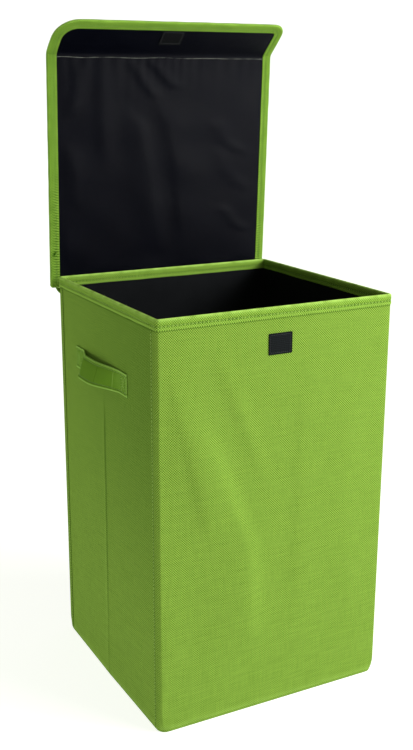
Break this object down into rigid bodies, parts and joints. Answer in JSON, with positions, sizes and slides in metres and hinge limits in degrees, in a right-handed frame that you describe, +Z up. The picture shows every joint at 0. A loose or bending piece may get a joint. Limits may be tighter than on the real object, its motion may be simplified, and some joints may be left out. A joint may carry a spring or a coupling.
{
  "type": "laundry hamper with lid",
  "caption": "Tall square folding fabric hamper with stiffened walls that fold inwards, side strap handles, a loose base board and a hinged lid with a front closing flap.",
  "frame": {"origin": "centre of the footprint, on the floor", "axes": "+Z up; -Y is the front, with the closure patch; the lid hinges along the back wall, at +Y; -X is the left side"},
  "size_m": [0.392, 0.3485, 0.9149],
  "materials": {
    "cover": "lime green linen-look woven polyester, matt",
    "binding": "lime green woven edge tape with a row of lock stitching",
    "lining": "near-black nylon with a faint satin sheen",
    "base_wrap": "stiff board wrapped in the same black nylon",
    "board": "plain grey-brown stiff board, sealed between the fabrics",
    "webbing": "lime green folded self-fabric strap with edge stitching",
    "patch": "black hook-and-loop tape"
  },
  "bodies": {
    "back_wall": {"back_cover": "cover", "back_board": "board", "back_lining": "lining", "back_rim_binding": "binding", "rear_left_corner_tape": "cover", "rear_right_corner_tape": "cover", "lid_hinge_tape": "binding", "bottom_fabric": "cover", "bottom_hem": "cover"},
    "left_rear_side": {"left_rear_cover": "cover", "left_rear_board": "board", "left_rear_lining": "lining", "left_rear_rim_binding": "binding", "left_handle_rear": "webbing"},
    "left_front_side": {"left_front_cover": "cover", "left_front_board": "board", "left_front_lining": "lining", "left_front_rim_binding": "binding", "left_handle_front": "webbing"},
    "right_rear_side": {"right_rear_cover": "cover", "right_rear_board": "board", "right_rear_lining": "lining", "right_rear_rim_binding": "binding", "right_handle_rear": "webbing"},
    "right_front_side": {"right_front_cover": "cover", "right_front_board": "board", "right_front_lining": "lining", "right_front_rim_binding": "binding", "right_handle_front": "webbing"},
    "front_wall": {"front_cover": "cover", "front_board": "board", "front_lining": "lining", "front_rim_binding": "binding", "front_left_corner_tape": "cover", "closure_loop_patch": "patch"},
    "front_right_seam": {"front_right_corner_tape": "cover"},
    "base": {"base_board": "base_wrap"},
    "lid": {"lid_spine": "cover", "lid_cover": "cover", "lid_board": "board", "lid_lining": "lining", "lid_binding": "binding"},
    "flap": {"flap_cover": "cover", "flap_board": "board", "flap_lining": "lining", "flap_binding": "binding", "closure_hook_patch": "patch"}
  },
  "joints": [
    {"name": "left_side_fold", "type": "hinge", "parent": "back_wall", "child": "left_rear_side", "pos_m": [-0.1707, 0.1552, 0], "axis": [0, 0, 1], "range_deg": [0, 87]},
    {"name": "left_middle_fold", "type": "hinge", "parent": "left_rear_side", "child": "left_front_side", "pos_m": [-0.176, 0, 0], "axis": [0, 0, 1], "range_deg": [-174, 0], "deforming": ["left_handle_rear", "left_handle_front"]},
    {"name": "front_left_corner_fold", "type": "hinge", "parent": "left_front_side", "child": "front_wall", "pos_m": [-0.1707, -0.1552, 0], "axis": [0, 0, 1], "range_deg": [0, 87]},
    {"name": "right_side_fold", "type": "hinge", "parent": "back_wall", "child": "right_rear_side", "pos_m": [0.1707, 0.1552, 0], "axis": [0, 0, 1], "range_deg": [-87, 0]},
    {"name": "right_middle_fold", "type": "hinge", "parent": "right_rear_side", "child": "right_front_side", "pos_m": [0.176, 0, 0], "axis": [0, 0, 1], "range_deg": [0, 174], "deforming": ["right_handle_rear", "right_handle_front"]},
    {"name": "front_right_corner_fold", "type": "hinge", "parent": "right_front_side", "child": "front_right_seam", "pos_m": [0.1707, -0.1552, 0], "axis": [0, 0, 1], "range_deg": [-87, 0]},
    {"name": "base_tip_up", "type": "hinge", "parent": "back_wall", "child": "base", "pos_m": [0, 0.159, 0.0036], "axis": [-1, 0, 0], "range_deg": [0, 90]},
    {"name": "lid_swing", "type": "hinge", "parent": "back_wall", "child": "lid", "pos_m": [0, 0.16135, 0.5426], "axis": [1, 0, 0], "range_deg": [0, 87.5], "deforming": ["lid_spine"]},
    {"name": "flap_crease", "type": "hinge", "parent": "lid", "child": "flap", "pos_m": [0, 0.16497, 0.87012], "axis": [1, 0, 0], "range_deg": [-45, 45]}
  ],
  "couplings": [
    {"joint": "left_middle_fold", "follows": "left_side_fold", "ratio": -2},
    {"joint": "front_left_corner_fold", "follows": "left_side_fold", "ratio": 1},
    {"joint": "right_side_fold", "follows": "left_side_fold", "ratio": -1},
    {"joint": "right_middle_fold", "follows": "left_side_fold", "ratio": 2},
    {"joint": "front_right_corner_fold", "follows": "left_side_fold", "ratio": -1}
  ]
}
